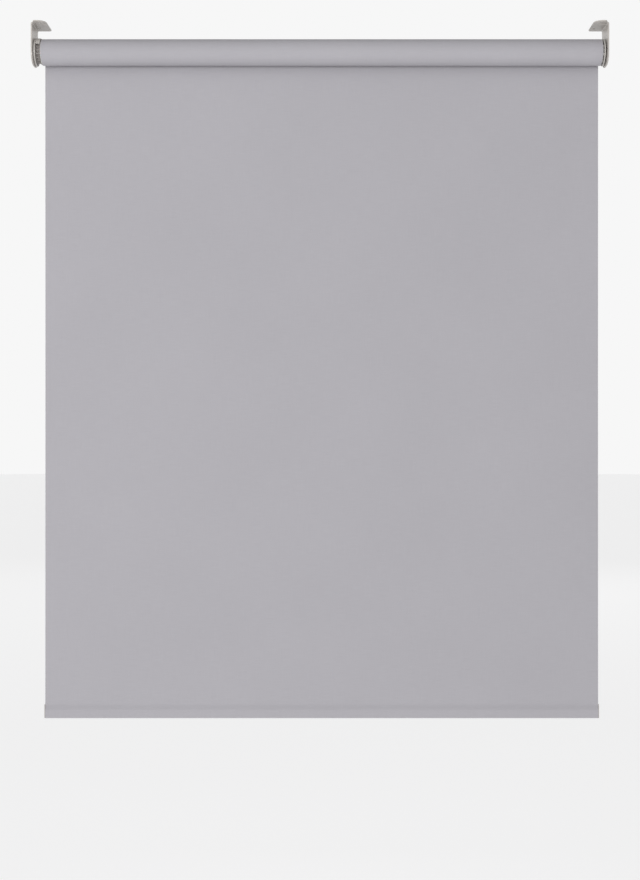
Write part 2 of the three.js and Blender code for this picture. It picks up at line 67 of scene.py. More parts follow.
FOCAL_LENGTH = 57.27  # mm, on a 36 mm sensor
CAMERA_PLACE = (0.0, -2.2044, -0.651)


def add_camera():
    data = bpy.data.cameras.new("camera")
    data.lens = FOCAL_LENGTH
    data.sensor_width = 36
    data.clip_start = 0.05
    data.clip_end = 80
    camera = bpy.data.objects.new("camera", data)
    camera.location = CAMERA_PLACE
    camera.rotation_euler = (math.pi / 2, 0, 0)
    scene.collection.objects.link(camera)
    scene.camera = camera


add_camera()


# ---------------------------------------------------------------------------------------------
# Materials

def linear(red, green, blue):
    """A colour given as sRGB from 0 to 255, as a shader's linear colour."""
    def one(value):
        value /= 255
        return value / 12.92 if value <= 0.04045 else ((value + 0.055) / 1.055) ** 2.4
    return (one(red), one(green), one(blue), 1)


class Surface:
    """A material in the making: one Principled shader and short calls that add nodes to it."""

    def __init__(self, name, roughness, metallic=0.0, **constants):
        self.material = bpy.data.materials.new(name)
        self.material.use_nodes = True
        self.tree = self.material.node_tree
        self.shader = self.tree.nodes["Principled BSDF"]
        self.shader.inputs["Roughness"].default_value = roughness
        self.shader.inputs["Metallic"].default_value = metallic
        for socket, value in constants.items():
            self.shader.inputs[socket.replace("_", " ")].default_value = value
        self.place = self.node("ShaderNodeTexCoord").outputs["Object"]
        self.normal = None

    def node(self, kind, settings=None, **inputs):
        made = self.tree.nodes.new(kind)
        for name, value in (settings or {}).items():
            setattr(made, name, value)
        for name, value in inputs.items():
            self.feed(made.inputs[name.replace("_", " ")], value)
        return made

    def feed(self, socket, value):
        if isinstance(value, bpy.types.NodeSocket):
            self.tree.links.new(value, socket)
        else:
            socket.default_value = value

    def maths(self, operation, first, second=0.0):
        made = self.tree.nodes.new("ShaderNodeMath")
        made.operation = operation
        self.feed(made.inputs[0], first)
        self.feed(made.inputs[1], second)
        return made.outputs[0]

    def stretched(self, vector, x, y, z):
        made = self.node("ShaderNodeMapping", Vector=vector)
        made.inputs["Scale"].default_value = (x, y, z)
        return made.outputs["Vector"]

    def noise(self, vector, scale, detail, roughness=0.5):
        made = self.node(
            "ShaderNodeTexNoise", Vector=vector, Scale=scale, Detail=detail, Roughness=roughness,
        )
        return made.outputs["Fac"]

    def spread(self, value, low, high):
        """value, which is about 0.3 to 0.7 for a noise, taken to low and high."""
        made = self.node("ShaderNodeMapRange", Value=value)
        made.inputs["From Min"].default_value = 0.3
        made.inputs["From Max"].default_value = 0.7
        made.inputs["To Min"].default_value = low
        made.inputs["To Max"].default_value = high
        return made.outputs["Result"]

    def shade(self, colour, *factors):
        """The base colour: one colour made lighter and darker by the factors, which are about 1."""
        product = factors[0]
        for factor in factors[1:]:
            product = self.maths("MULTIPLY", product, factor)
        scaled = self.node("ShaderNodeVectorMath", {"operation": "SCALE"})
        scaled.inputs[0].default_value = colour[:3]
        self.tree.links.new(product, scaled.inputs["Scale"])
        self.tree.links.new(scaled.outputs[0], self.shader.inputs["Base Color"])

    def rough(self, value):
        self.tree.links.new(value, self.shader.inputs["Roughness"])

    def bump(self, height, distance, strength):
        made = self.node("ShaderNodeBump", Height=height, Distance=distance, Strength=strength)
        if self.normal is not None:
            self.tree.links.new(self.normal, made.inputs["Normal"])
        self.normal = made.outputs["Normal"]
        self.tree.links.new(self.normal, self.shader.inputs["Normal"])


THREAD_MAP = "Thread"  # the UV map of every piece of cloth, in metres across and along the cloth
THREAD_PITCH = 0.9 * MM  # two threads


def cloth_material():
    made = Surface("cloth", 0.86, Sheen_Weight=0.12, Sheen_Roughness=0.6, Specular_IOR_Level=0.25)
    along = made.node("ShaderNodeUVMap", {"uv_map": THREAD_MAP}).outputs["UV"]
    parts = made.node("ShaderNodeSeparateXYZ", Vector=along)
    turns = 2 * math.pi / THREAD_PITCH
    across = made.maths("SINE", made.maths("MULTIPLY", parts.outputs["X"], turns))
    down = made.maths("SINE", made.maths("MULTIPLY", parts.outputs["Y"], turns))
    weave = made.maths("MULTIPLY", across, down)
    weft = made.noise(made.stretched(along, 45, 1700, 1), 1.0, 2)
    warp = made.noise(made.stretched(along, 1500, 30, 1), 1.0, 2)
    broad = made.noise(along, 5.0, 3)
    fibre = made.noise(along, 2600.0, 2)
    made.shade(
        linear(164, 162, 167),
        made.spread(weft, 0.975, 1.025),
        made.spread(warp, 0.985, 1.015),
        made.spread(broad, 0.985, 1.015),
        made.spread(fibre, 0.97, 1.03),
        made.maths("ADD", made.maths("MULTIPLY", weave, 0.02), 1.0),
    )
    made.rough(made.spread(fibre, 0.8, 0.92))
    made.bump(weave, 0.03 * MM, 0.5)
    made.bump(weft, 0.06 * MM, 0.4)
    made.bump(warp, 0.04 * MM, 0.4)
    return made.material


def paint_material():
    made = Surface("bracket_metal", 0.4, 0.1, Coat_Weight=0.15, Coat_Roughness=0.25)
    peel = made.noise(made.place, 900.0, 2)
    speck = made.noise(made.place, 4200.0, 2)
    cloudy = made.noise(made.place, 45.0, 3)
    made.shade(
        linear(178, 173, 168),
        made.spread(speck, 0.96, 1.04),
        made.spread(cloudy, 0.96, 1.04),
    )
    made.rough(made.spread(cloudy, 0.36, 0.46))
    made.bump(peel, 0.03 * MM, 0.6)
    made.bump(speck, 0.01 * MM, 0.5)
    return made.material


def plastic_material(name, colour, roughness, grain, **constants):
    """Moulded plastic: a fine spark-eroded grain and faint flow marks."""
    made = Surface(name, roughness, **constants)
    fine = made.noise(made.place, grain, 3, 0.6)
    flow = made.noise(made.stretched(made.place, 60, 25, 25), 1.0, 3)
    made.shade(colour, made.spread(fine, 0.97, 1.03), made.spread(flow, 0.965, 1.035))
    made.rough(made.spread(flow, roughness - 0.05, roughness + 0.06))
    made.bump(fine, 0.025 * MM, 0.6)
    return made.material


def steel_material():
    made = Surface("steel", 0.3, 1.0)
    streak = made.noise(made.stretched(made.place, 300, 2600, 2600), 1.0, 3)
    cloudy = made.noise(made.place, 220.0, 3)
    made.shade(linear(196, 196, 193), made.spread(streak, 0.92, 1.06), made.spread(cloudy, 0.94, 1.04))
    made.rough(made.spread(cloudy, 0.24, 0.38))
    made.bump(streak, 0.01 * MM, 0.4)
    return made.material


def aluminium_material():
    made = Surface("aluminium", 0.36, 1.0)
    die = made.noise(made.stretched(made.place, 4, 3200, 3200), 1.0, 3)
    cloudy = made.noise(made.stretched(made.place, 15, 90, 90), 1.0, 3)
    made.shade(linear(200, 201, 203), made.spread(die, 0.93, 1.05), made.spread(cloudy, 0.95, 1.04))
    made.rough(made.spread(cloudy, 0.3, 0.45))
    made.bump(die, 0.02 * MM, 0.5)
    return made.material


MATERIALS = {
    "cloth": cloth_material(),
    "bracket_metal": paint_material(),
    "control_plastic": plastic_material("control_plastic", linear(188, 184, 180), 0.46, 2600.0),
    "sprocket_plastic": plastic_material("sprocket_plastic", linear(134, 129, 126), 0.5, 2200.0),
    "steel": steel_material(),
    "aluminium": aluminium_material(),
    "nylon": plastic_material(
        "nylon", linear(196, 193, 188), 0.42, 1800.0, Subsurface_Weight=0.15, Subsurface_Scale=0.002,
    ),
}


# ---------------------------------------------------------------------------------------------
# Sizes, read from the CAD nodes

class Extent:
    """A CAD node's box at rest."""

    def __init__(self, node):
        self.low, self.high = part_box(node)

    def radius(self):
        return (self.high.z - self.low.z) / 2

    def depth(self):
        return self.high.y - self.low.y


ROLL = Extent("cloth_roll")
SHEET = Extent("cloth_sheet")
HEM = Extent("hem_pocket")
AXIS_Z = (ROLL.low.z + ROLL.high.z) / 2
CLOTH_THICKNESS = SHEET.depth()
CLOTH_MIDDLE = (SHEET.low.y + SHEET.high.y) / 2
CLOTH_LEFT = SHEET.low.x
CLOTH_RIGHT = SHEET.high.x
CLOTH_WIDTH = CLOTH_RIGHT - CLOTH_LEFT
GAP = 0.3 * MM  # that the CAD leaves between neighbours
PAST = 1 * MM  # that a cutter runs past what it cuts, and that joined bodies share


# ---------------------------------------------------------------------------------------------
# Mesh helpers

def smooth_step(value):
    value = min(max(value, 0.0), 1.0)
    return value * value * (3 - 2 * value)


def arc(centre, radius, start, end, steps):
    """Points on an arc, from one angle in degrees to another."""
    points = []
    for k in range(steps + 1):
        angle = math.radians(start + (end - start) * k / steps)
        points.append((centre[0] + radius * math.cos(angle), centre[1] + radius * math.sin(angle)))
    return points


def eased(points, radius, steps=4, closed=True):
    """The same outline with its corners rounded. An open one keeps its two ends."""
    made = []
    for k, (x, y) in enumerate(points):
        if not closed and k in (0, len(points) - 1):
            made.append((x, y))
            continue
        corner = Vector((x, y))
        before = Vector(points[k - 1]) - corner
        after = Vector(points[(k + 1) % len(points)]) - corner
        if before.length < 1e-9 or after.length < 1e-9 or abs(before.angle(after) - math.pi) < 0.15:
            made.append((x, y))
            continue
        reach = min(radius, 0.45 * before.length, 0.45 * after.length)
        first = corner + before.normalized() * reach
        last = corner + after.normalized() * reach
        for step in range(steps + 1):
            t = step / steps
            point = first * (1 - t) ** 2 + corner * 2 * t * (1 - t) + last * t ** 2
            made.append(tuple(point))
    return made


def turned(profile, segments, closed=True):
    """A body of revolution about the roll's axis from (place on X, radius) points. An open profile
    starts and ends on the axis."""
    mesh = bmesh.new()
    rings = []
    for x, radius in profile:
        if radius < 1e-7:
            rings.append([mesh.verts.new((x, 0, AXIS_Z))])
            continue
        ring = []
        for k in range(segments):
            angle = 2 * math.pi * k / segments
            y = radius * math.cos(angle)
            ring.append(mesh.verts.new((x, y, AXIS_Z + radius * math.sin(angle))))
        rings.append(ring)
    following = rings[1:] + rings[:1] if closed else rings[1:]
    for first, second in zip(rings, following):
        for k in range(segments):
            n = (k + 1) % segments
            if len(first) == 1:
                mesh.faces.new((first[0], second[n], second[k]))
            elif len(second) == 1:
                mesh.faces.new((first[k], first[n], second[0]))
            else:
                mesh.faces.new((first[k], first[n], second[n], second[k]))
    return mesh


def area_of(loop):
    return sum(a[0] * b[1] - b[0] * a[1] for a, b in zip(loop, loop[1:] + loop[:1])) / 2


def inset(loop, amount):
    """A loop moved to its left by amount, which is towards the material."""
    made = []
    for k, point in enumerate(loop):
        here = Vector(point)
        before = (here - Vector(loop[k - 1])).normalized()
        after = (Vector(loop[(k + 1) % len(loop)]) - here).normalized()
        left = Vector((-before.y - after.y, before.x + after.x))
        left.normalize()
        lean = max(0.5, left.dot(Vector((-before.y, before.x))))
        made.append(tuple(here + left * (amount / lean)))
    return made


def slab(loops, low, high, ease, steps=3):
    """A closed slab with eased edges, in (u, v, w). loops[0] is its outline and the others are holes,
    as (u, v) points, and w goes from low to high."""
    loops = [list(loop) for loop in loops]
    for k, loop in enumerate(loops):
        if (area_of(loop) > 0) != (k == 0):
            loop.reverse()
    levels = []
    for k in range(steps + 1):
        angle = math.pi / 2 * k / steps
        levels.append((ease * (1 - math.cos(angle)), ease * (1 - math.sin(angle))))
    rings = [(low + up, amount) for up, amount in levels]
    rings += [(high - up, amount) for up, amount in reversed(levels)]

    mesh = bmesh.new()
    made = []
    for w, amount in rings:
        made.append([[mesh.verts.new((u, v, w)) for u, v in inset(loop, amount)] for loop in loops])
    for first, second in zip(made, made[1:]):
        for a, b in zip(first, second):
            for k in range(len(a)):
                n = (k + 1) % len(a)
                mesh.faces.new((a[k], a[n], b[n], b[k]))
    for cap in (made[0], made[-1]):
        flat = [vert for loop in cap for vert in loop]
        for triangle in tessellate_polygon([[vert.co.xy.to_3d() for vert in loop] for loop in cap]):
            mesh.faces.new([flat[k] for k in triangle])
    return mesh


def stood(mesh):
    """Takes a slab's (u, v, w) to the roll's axis: u along Y, v up from the axis and w along X."""
    for vert in mesh.verts:
        u, v, w = vert.co
        vert.co = (w, u, AXIS_Z + v)
    return mesh


def sector(start, end, inner, outer, first, last, ease=0.2 * MM):
    """Part of a ring about the roll's axis between two angles in degrees, 0 towards +Y and 90 up."""
    steps = max(4, math.ceil((last - first) / 3))
    loop = arc((0, 0), outer, first, last, steps) + arc((0, 0), inner, last, first, steps)
    return stood(slab([loop], start, end, ease))


def to_object(name, mesh):
    bmesh.ops.remove_doubles(mesh, verts=mesh.verts, dist=1e-7)
    bmesh.ops.recalc_face_normals(mesh, faces=mesh.faces)
    data = bpy.data.meshes.new(name)
    mesh.to_mesh(data)
    mesh.free()
    made = bpy.data.objects.new(name, data)
    scene.collection.objects.link(made)
    return made


def combined(base, others, operation="UNION"):
    """One mesh from closed ones, joined or cut."""
    target = to_object("base", base)
    tools = [to_object("tool", other) for other in others]
    for tool in tools:
        cut = target.modifiers.new("cut", "BOOLEAN")
        cut.operation = operation
        cut.solver = "EXACT"
        cut.object = tool
    bpy.context.view_layer.update()
    result = target.evaluated_get(bpy.context.evaluated_depsgraph_get())
    mesh = bmesh.new()
    mesh.from_mesh(result.to_mesh())
    for used in [target, *tools]:
        data = used.data
        bpy.data.objects.remove(used)
        bpy.data.meshes.remove(data)
    return mesh


def shaded(data, sharpest):
    """Smooth shading, but for the edges that are sharper than an angle in degrees."""
    for polygon in data.polygons:
        polygon.use_smooth = True
    data.set_sharp_from_angle(angle=math.radians(sharpest))


def add_piece(name, mesh, slot, body, node, sharpest=35):
    """Makes a mesh a finished piece that rides on a CAD body and stands for a CAD node."""
    made = to_object(name, mesh)
    shaded(made.data, sharpest)
    weighted = made.modifiers.new("weighted", "WEIGHTED_NORMAL")
    weighted.keep_sharp = True
    made.data.materials.append(MATERIALS[slot])
    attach(made, body)
    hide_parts(node)
    return made


def strip(mesh, rows, places):
    """Closes a strip of cloth and writes its own coordinates to its UV map. Each row is two lines of
    vertices, one on each side of the cloth, and places is one (across, along) per vertex."""
    last = len(rows[0][0]) - 1
    for (a, b), (c, d) in zip(rows, rows[1:]):
        for k in range(last):
            mesh.faces.new((a[k], a[k + 1], c[k + 1], c[k]))
            mesh.faces.new((b[k], d[k], d[k + 1], b[k + 1]))
        for end in (0, last):
            mesh.faces.new((a[end], c[end], d[end], b[end]))
    for a, b in (rows[0], rows[-1]):
        for k in range(last):
            mesh.faces.new((a[k], a[k + 1], b[k + 1], b[k]))
    layer = mesh.loops.layers.uv.new(THREAD_MAP)
    mesh.verts.index_update()
    for face in mesh.faces:
        for loop in face.loops:
            loop[layer].uv = places[loop.vert.index]


# ---------------------------------------------------------------------------------------------
# Brackets

BRACKET = Extent("bracket_left")
PLATE = 2.0 * MM
PLATE_EASE = 0.35 * MM
BEND = 3.5 * MM  # outside radius
FLANGE_WIDTH = BRACKET.high.x - BRACKET.low.x
FLANGE_FRONT = BRACKET.low.y
BRACKET_BACK = BRACKET.high.y
PLATE_FRONT = -27 * MM
PLATE_BOTTOM = BRACKET.low.z
PLATE_CORNER = 18 * MM
NOSE = 14 * MM  # radius of the flange's front corner
HEEL = 4 * MM  # and of its back corner
FLARE = 4.5 * MM  # width of the curve in which the plate's front edge runs out to the flange's
SCREW_HOLE = 2.3 * MM  # radius
SLOT_LENGTH = 9.5 * MM
HOLE_EDGE = 6.4 * MM  # from the flange's edge to a hole's middle
FRONT_HOLE = -19.6 * MM
REAR_HOLE = 4.4 * MM
PIN_HOLE = 5.3 * MM  # radius
LUG_INNER = 10 * MM
LUG_HEIGHT = 3 * MM
LUG_ANGLES = (90, 210, 330)
LUG_HALF = 8  # degrees, and 10 for the slots that the lugs go in
SLOT_HALF = 10
BEND_LENGTH = (BEND - PLATE / 2) * math.pi / 2
BEND_STEPS = 10


def on_flange(inward):
    """Place along the unfolded blank of a point on the flange, from its distance to the outer face."""
    return BEND - inward


def on_plate(height):
    """The same for a point on the plate, from its height."""
    return BEND_LENGTH - BEND - height


def blank_outline():
    """The bracket before bending: along it, from the flange's edge to the plate's end, and depth."""
    outline = [(on_flange(BEND), PLATE_FRONT)]
    flare_steps = 8
    for k in range(1, flare_steps + 1):
        t = k / flare_steps
        inward = BEND + FLARE * t * t
        depth = PLATE_FRONT * (1 - t) ** 2 + FLANGE_FRONT * (1 - (1 - t) ** 2)
        outline.append((on_flange(inward), depth))
    nose = arc((FLANGE_WIDTH - NOSE, FLANGE_FRONT + NOSE), NOSE, -90, 0, 18)
    heel = arc((FLANGE_WIDTH - HEEL, BRACKET_BACK - HEEL), HEEL, 0, 90, 8)
    outline += [(on_flange(inward), depth) for inward, depth in nose + heel]
    outline.append((on_flange(BEND), BRACKET_BACK))
    low = PLATE_BOTTOM + PLATE_CORNER
    back = arc((BRACKET_BACK - PLATE_CORNER, low), PLATE_CORNER, 0, -90, 20)
    front = arc((PLATE_FRONT + PLATE_CORNER, low), PLATE_CORNER, -90, -180, 20)
    outline += [(on_plate(height), depth) for depth, height in back + front]
    return outline


def screw_hole(inward, depth, length):
    """A slot of this length across the flange, or a round hole for a length of 0."""
    if length:
        half = length / 2 - SCREW_HOLE
        points = arc((inward + half, depth), SCREW_HOLE, -90, 90, 14)
        points += arc((inward - half, depth), SCREW_HOLE, 90, 270, 14)
    else:
        points = arc((inward, depth), SCREW_HOLE, 0, 360, 28)[:-1]
    return [(on_flange(x), y) for x, y in points]


def plate_holes():
    holes = [arc((0, 0), PIN_HOLE, 0, 360, 40)[:-1]]
    for at in LUG_ANGLES:
        slot = arc((0, 0), LUG_INNER + LUG_HEIGHT + GAP, at - SLOT_HALF, at + SLOT_HALF, 8)
        slot += arc((0, 0), LUG_INNER - GAP, at + SLOT_HALF, at - SLOT_HALF, 8)
        holes.append(slot)
    return [[(on_plate(AXIS_Z + z), y) for y, z in hole] for hole in holes]


def bracket(name, node, face, inward_sign, holes):
    """Bends the blank. face is the plate's outer face on X, and the flange goes inward from it."""
    loops = [blank_outline(), *[screw_hole(*hole) for hole in holes], *plate_holes()]
    mesh = slab(loops, 0, PLATE, PLATE_EASE)
    lines = [BEND_LENGTH * k / BEND_STEPS for k in range(BEND_STEPS + 1)]
    for beside in (0.4 * MM, 1 * MM):  # they keep the shading of the bend off the flat parts
        lines += [-beside, BEND_LENGTH + beside]
    for along in sorted(lines):
        bmesh.ops.bisect_plane(
            mesh, geom=mesh.verts[:] + mesh.edges[:] + mesh.faces[:],
            plane_co=(along, 0, 0), plane_no=(1, 0, 0),
        )
    for vert in mesh.verts:
        along, depth, below = vert.co
        if along <= 0:
            inward, height = BEND - along, -below
        elif along < BEND_LENGTH:
            angle = along / (BEND - PLATE / 2)
            inward = BEND - (BEND - below) * math.sin(angle)
            height = -BEND + (BEND - below) * math.cos(angle)
        else:
            inward, height = below, -BEND - (along - BEND_LENGTH)
        vert.co = (face + inward_sign * inward, depth, height)
    add_piece(name, mesh, "bracket_metal", "root", node)


def add_brackets():
    near = BEND + 2 * SCREW_HOLE
    far = FLANGE_WIDTH - HOLE_EDGE
    bracket(
        "control_bracket", "bracket_left", BRACKET.low.x, 1,
        [(far, FRONT_HOLE, SLOT_LENGTH), (near, REAR_HOLE, 0)],
    )
    bracket(
        "idle_bracket", "bracket_right", Extent("bracket_right").high.x, -1,
        [(near + 1 * MM, FRONT_HOLE, SLOT_LENGTH), (far, REAR_HOLE, 0)],
    )


add_brackets()


# ---------------------------------------------------------------------------------------------
# Control end

HOUSING = Extent("control_housing")
GUARD = Extent("chain_guard")
WHEEL = Extent("sprocket")
CORE = Extent("control_core")
RIM_RADIUS = HOUSING.depth() / 2
RIM_CHAMFER = 0.8 * MM
RIM_LIP = 1.3 * MM  # width of the raised edge on the side of the wheel
DISH = 0.8 * MM  # how far the middle lies behind that edge
CORE_SEAT = 15.6 * MM  # side of the square hole that the core passes through
HEAD_SEAT = 18.6 * MM  # side of the square recess for the core's head
HEAD_DEPTH = 1.6 * MM
BEADS = 18
BEAD_CIRCLE = 17.19 * MM
POCKET = 2.4 * MM  # radius
POCKET_EDGE = 0.22 * POCKET  # over which a pocket's edge is rounded
RACE_WIDTH = 6.5 * MM
RACE_STEPS = 26  # across the race
BEAD_STEPS = 28  # along the race, for each bead
RACE_NEAR = 0.1 * MM  # how near to the race's floor a point counts as on it
LIP = 0.8 * MM
LIP_HEIGHT = 1.7 * MM
CORE_BORE = 6.8 * MM
DRIVER_INNER = 8.4 * MM
DRIVER_OUTER = 10.5 * MM
DRIVER_ANGLES = (215, 325)
GUARD_INNER = 19.89 * MM
GUARD_END = 27  # degrees above the axis
TAB_ANGLES = (60, 120)
TAB_HALF = 5.5  # degrees, and 7 for the notches that the tabs go in
NOTCH_HALF = 7
NOTCH_DEPTH = 2.1 * MM
TAB_INSET = 0.05 * MM  # that a tab is thinner than the guard's shell, on each side


def square(size):
    half = size / 2
    return [(-half, -half), (half, -half), (half, half), (-half, half)]


def add_housing():
    start = CORE.low.x
    end = HOUSING.high.x
    middle = CORE_SEAT / 4  # inside the core's seat, so nothing is left of this hole
    profile = [
        (start, middle),
        (start, RIM_RADIUS - RIM_CHAMFER),
        (start + RIM_CHAMFER, RIM_RADIUS),
        (end - 0.25 * MM, RIM_RADIUS),
        (end, RIM_RADIUS - 0.35 * MM),
        (end, RIM_RADIUS - RIM_LIP),
        (end - DISH, RIM_RADIUS - RIM_LIP - DISH),
        (end - DISH, middle),
    ]
    disc = turned(eased(profile, 0.25 * MM), 144)
    lug_top = LUG_INNER + LUG_HEIGHT
    lugs = [
        sector(HOUSING.low.x, start + GAP, LUG_INNER, lug_top, at - LUG_HALF, at + LUG_HALF, 0.1 * MM)
        for at in LUG_ANGLES
    ]
    outside = start - 2 * PAST
    inside = end + PAST
    cuts = [
        stood(slab([square(CORE_SEAT)], outside, inside, 0)),
        stood(slab([square(HEAD_SEAT)], outside, start + HEAD_DEPTH, 0)),
    ]
    cuts += [
        sector(
            end - NOTCH_DEPTH, inside, GUARD_INNER - GAP, RIM_RADIUS + PAST,
            at - NOTCH_HALF, at + NOTCH_HALF, 0,
        )
        for at in TAB_ANGLES
    ]
    mesh = combined(combined(disc, lugs), cuts, "DIFFERENCE")
    add_piece("control_end_plate", mesh, "control_plastic", "root", "control_housing", 30)


def add_guard():
    race = WHEEL.low.x
    outer = GUARD.high.z - AXIS_Z
    shell = sector(race, GUARD.high.x, GUARD_INNER, outer, GUARD_END, 180 - GUARD_END, 0.3 * MM)
    tabs = [
        sector(
            GUARD.low.x, race + PAST, GUARD_INNER + TAB_INSET, outer - TAB_INSET,
            at - TAB_HALF, at + TAB_HALF, 0.15 * MM,
        )
        for at in TAB_ANGLES
    ]
    add_piece("chain_cover", combined(shell, tabs), "control_plastic", "root", "chain_guard", 30)


def race_radius(x, angle, middle):
    """Radius of the race's floor, with a round pocket for each bead."""
    pitch = 2 * math.pi / BEADS
    off = (angle / pitch) % 1 - 0.5
    away = math.hypot(x - middle, BEAD_CIRCLE * math.sin(off * pitch))
    if away >= POCKET:
        return BEAD_CIRCLE
    depth = BEAD_CIRCLE * (1 - math.cos(off * pitch)) + math.sqrt(POCKET ** 2 - away ** 2)
    return BEAD_CIRCLE - depth * smooth_step((POCKET - away) / POCKET_EDGE)


def add_sprocket():
    start = WHEEL.low.x
    end = start + RACE_WIDTH
    middle = (start + end) / 2
    lip = BEAD_CIRCLE + LIP_HEIGHT
    floor_from = start + LIP + GAP
    floor_to = end - LIP - GAP
    wall = [
        (start, CORE_BORE), (start, lip), (start + LIP - GAP, lip), (floor_from, BEAD_CIRCLE),
        (floor_to, BEAD_CIRCLE), (end - LIP + GAP, lip), (end, lip), (end, CORE_BORE),
    ]
    wall = eased(wall, 0.2 * MM)
    profile = []
    for (x, radius), (following, _) in zip(wall, wall[1:] + wall[:1]):
        profile.append((x, radius))
        width = following - x
        if abs(radius - BEAD_CIRCLE) < RACE_NEAR and width > RACE_WIDTH / 2:
            profile += [(x + width * step / RACE_STEPS, radius) for step in range(1, RACE_STEPS)]
    mesh = turned(profile, BEADS * BEAD_STEPS)
    for vert in mesh.verts:
        x, y, z = vert.co
        z -= AXIS_Z
        radius = math.hypot(y, z)
        if floor_from <= x <= floor_to and abs(radius - BEAD_CIRCLE) < RACE_NEAR:
            wanted = race_radius(x, math.atan2(z, y), middle)
            vert.co = (x, y * wanted / radius, AXIS_Z + z * wanted / radius)
    add_piece("bead_wheel", mesh, "sprocket_plastic", "sprocket", "sprocket", 40)
    finger = sector(end, WHEEL.high.x, DRIVER_INNER, DRIVER_OUTER, *DRIVER_ANGLES)
    add_piece("bead_wheel_driver", finger, "sprocket_plastic", "sprocket", "sprocket")


add_housing()
add_guard()
add_sprocket()


# ---------------------------------------------------------------------------------------------
# Tube and the two bodies that fill its ends

TUBE = Extent("roller_tube")
PLUG = Extent("idle_plug")
TUBE_RADIUS = 19 * MM
TUBE_BORE = 17.8 * MM  # radius
TUBE_SHOWS = 0.5 * MM  # past the cloth's right edge, with a dark gap from there to the plug's rim
MOUTH_HALF = 1.2 * MM  # the groove's mouth, half its width and the radius of its inner edge
MOUTH_EDGE = 18 * MM
GROOVE_HALF = 2.2 * MM
GROOVE_FLOOR = 15.6 * MM
CHANNEL_HALF = 3.4 * MM  # the groove's channel, as it stands in the bore
CHANNEL_EDGE = 14.4 * MM
KEY_HALF = CHANNEL_HALF + GAP
KEY_DEPTH = CHANNEL_EDGE - GAP
FINS = 8
FIN_HALF = 1.6 * MM
PLUG_BORE = 6.7 * MM
PLUG_FLANGE = 1.7 * MM


def tube_outline():
    edge = math.degrees(math.acos(MOUTH_HALF / TUBE_RADIUS))
    outline = arc((0, 0), TUBE_RADIUS, 180 - edge, 360 + edge, 180)
    outline += [
        (MOUTH_HALF, MOUTH_EDGE), (GROOVE_HALF, MOUTH_EDGE), (GROOVE_HALF, GROOVE_FLOOR),
        (-GROOVE_HALF, GROOVE_FLOOR), (-GROOVE_HALF, MOUTH_EDGE), (-MOUTH_HALF, MOUTH_EDGE),
    ]
    edge = math.degrees(math.acos(CHANNEL_HALF / TUBE_BORE))
    bore = arc((0, 0), TUBE_BORE, 180 - edge, 360 + edge, 160)
    bore += [(CHANNEL_HALF, CHANNEL_EDGE), (-CHANNEL_HALF, CHANNEL_EDGE)]
    return [outline, bore]


def add_tube():
    mesh = stood(slab(tube_outline(), TUBE.low.x, CLOTH_RIGHT + TUBE_SHOWS, 0.1 * MM, 2))
    add_piece("tube", mesh, "aluminium", "roller", "roller_tube")


def finned_outline():
    """Fins that reach to the tube's wall, as (u, v) points."""
    tip = TUBE_BORE - GAP
    foot = math.degrees(math.asin(FIN_HALF / KEY_DEPTH))
    edge = math.degrees(math.asin(FIN_HALF / tip))
    pitch = 360 / FINS
    outline = []
    for fin in range(FINS):
        middle = pitch * (fin + 0.5)
        outline += arc((0, 0), tip, middle - edge, middle + edge, 2)
        outline += arc((0, 0), KEY_DEPTH, middle + foot, middle + pitch - foot, 8)
    return outline


def add_idle_plug():
    inner = PLUG.low.x
    face = PLUG.high.x
    flange = face - PLUG_FLANGE
    rim = PLUG.depth() / 2
    hub = 4 * MM  # less than the bore, so nothing is left of this hole
    profile = [(flange, hub), (flange, rim), (face, rim), (face, hub)]
    disc = turned(eased(profile, 0.45 * MM), 144)
    fins = stood(slab([finned_outline()], inner, flange + GAP, 0))
    key_top = KEY_DEPTH + 10 * MM
    key = [(-KEY_HALF, KEY_DEPTH), (KEY_HALF, KEY_DEPTH), (KEY_HALF, key_top), (-KEY_HALF, key_top)]
    keyway = stood(slab([key], inner - PAST, flange - 0.05 * MM, 0))
    bore = turned(
        [(inner - PAST, 0), (inner - PAST, PLUG_BORE), (face + PAST, PLUG_BORE), (face + PAST, 0)],
        64, False,
    )
    body = combined(combined(fins, [keyway], "DIFFERENCE"), [disc])
    mesh = combined(body, [bore], "DIFFERENCE")
    add_piece("idle_end_plug", mesh, "control_plastic", "roller", "idle_plug", 30)


def add_pin():
    pin = Extent("idle_pin")
    radius = pin.radius()
    nose = pin.high.x
    taper = 1.6 * MM
    profile = [
        (pin.low.x, 0), (pin.low.x, radius), (nose - taper, radius), (nose, radius / 2), (nose, 0),
    ]
    mesh = turned(eased(profile, 0.5 * MM, 5, False), 64, False)
    add_piece("spring_pin", mesh, "steel", "idle_pin", "idle_pin")


def add_bush():
    """The bush that the pin turns in: a flange behind the bracket and a barrel in its hole."""
    bush = Extent("pin_socket")
    bore = Extent("idle_pin").radius() + GAP
    barrel = PIN_HOLE - GAP
    step = bush.low.x + 1.1 * MM
    profile = [
        (bush.low.x, bore), (bush.low.x, bush.radius()), (step, bush.radius()),
        (step, barrel), (bush.high.x, barrel), (bush.high.x, bore),
    ]
    mesh = turned(eased(profile, 0.25 * MM), 72)
    add_piece("pin_bush", mesh, "nylon", "root", "pin_socket")


add_tube()
add_idle_plug()
add_pin()
add_bush()


# ---------------------------------------------------------------------------------------------
# Cloth: wound on the tube, hanging from the back of the roll, and folded into the hem

